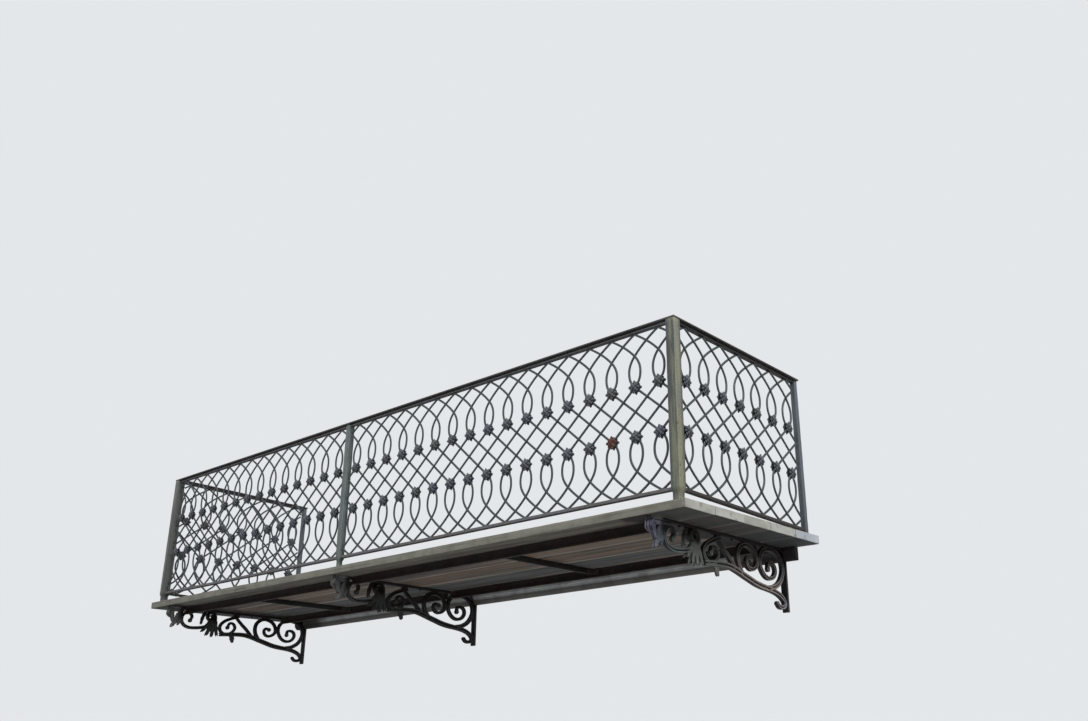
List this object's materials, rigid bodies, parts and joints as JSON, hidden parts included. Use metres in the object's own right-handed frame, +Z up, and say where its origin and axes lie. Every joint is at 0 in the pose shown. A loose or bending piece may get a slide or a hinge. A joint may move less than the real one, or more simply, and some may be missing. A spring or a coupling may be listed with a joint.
{
  "type": "wrought iron balcony",
  "caption": "Wall balcony with a plank deck, lattice iron railings with rosettes, square posts and a handrail, carried on cast scroll brackets.",
  "frame": {"origin": "centre of the middle bracket's back plate, on the face that meets the wall", "axes": "+X along the wall to the right seen from outside, -Y out from the wall, +Z up; the wall's face is Y = 0"},
  "size_m": [4.123, 1.0446, 1.104],
  "materials": {
    "wrought_iron": "worn black paint with a blue-grey cast",
    "cast_iron": "old black paint over cast iron",
    "deck_timber": "weathered grey paint, bare and brown underneath",
    "ledger_timber": "weathered grey paint"
  },
  "bodies": {
    "root": {"deck_plank_1": "deck_timber", "deck_plank_2": "deck_timber", "deck_plank_3": "deck_timber", "deck_plank_4": "deck_timber", "deck_plank_5": "deck_timber", "left_wall_ledger": "ledger_timber", "right_wall_ledger": "ledger_timber", "left_front_beam": "wrought_iron", "right_front_beam": "wrought_iron", "left_rear_beam": "wrought_iron", "right_rear_beam": "wrought_iron", "left_cross_bar": "wrought_iron", "right_cross_bar": "wrought_iron", "left_bracket": "cast_iron", "middle_bracket": "cast_iron", "right_bracket": "cast_iron", "left_corner_post": "wrought_iron", "middle_post": "wrought_iron", "right_corner_post": "wrought_iron", "left_wall_post": "wrought_iron", "right_wall_post": "wrought_iron", "front_handrail": "wrought_iron", "left_side_handrail": "wrought_iron", "right_side_handrail": "wrought_iron", "left_front_rails": "wrought_iron", "right_front_rails": "wrought_iron", "left_side_rails": "wrought_iron", "right_side_rails": "wrought_iron", "left_front_lattice": "wrought_iron", "right_front_lattice": "wrought_iron", "left_side_lattice": "wrought_iron", "right_side_lattice": "wrought_iron", "left_front_upper_rosettes": "cast_iron", "left_front_lower_rosettes": "cast_iron", "right_front_upper_rosettes": "cast_iron", "right_front_lower_rosettes": "cast_iron", "left_side_upper_rosettes": "cast_iron", "left_side_lower_rosettes": "cast_iron", "right_side_upper_rosettes": "cast_iron", "right_side_lower_rosettes": "cast_iron"}
  },
  "joints": []
}
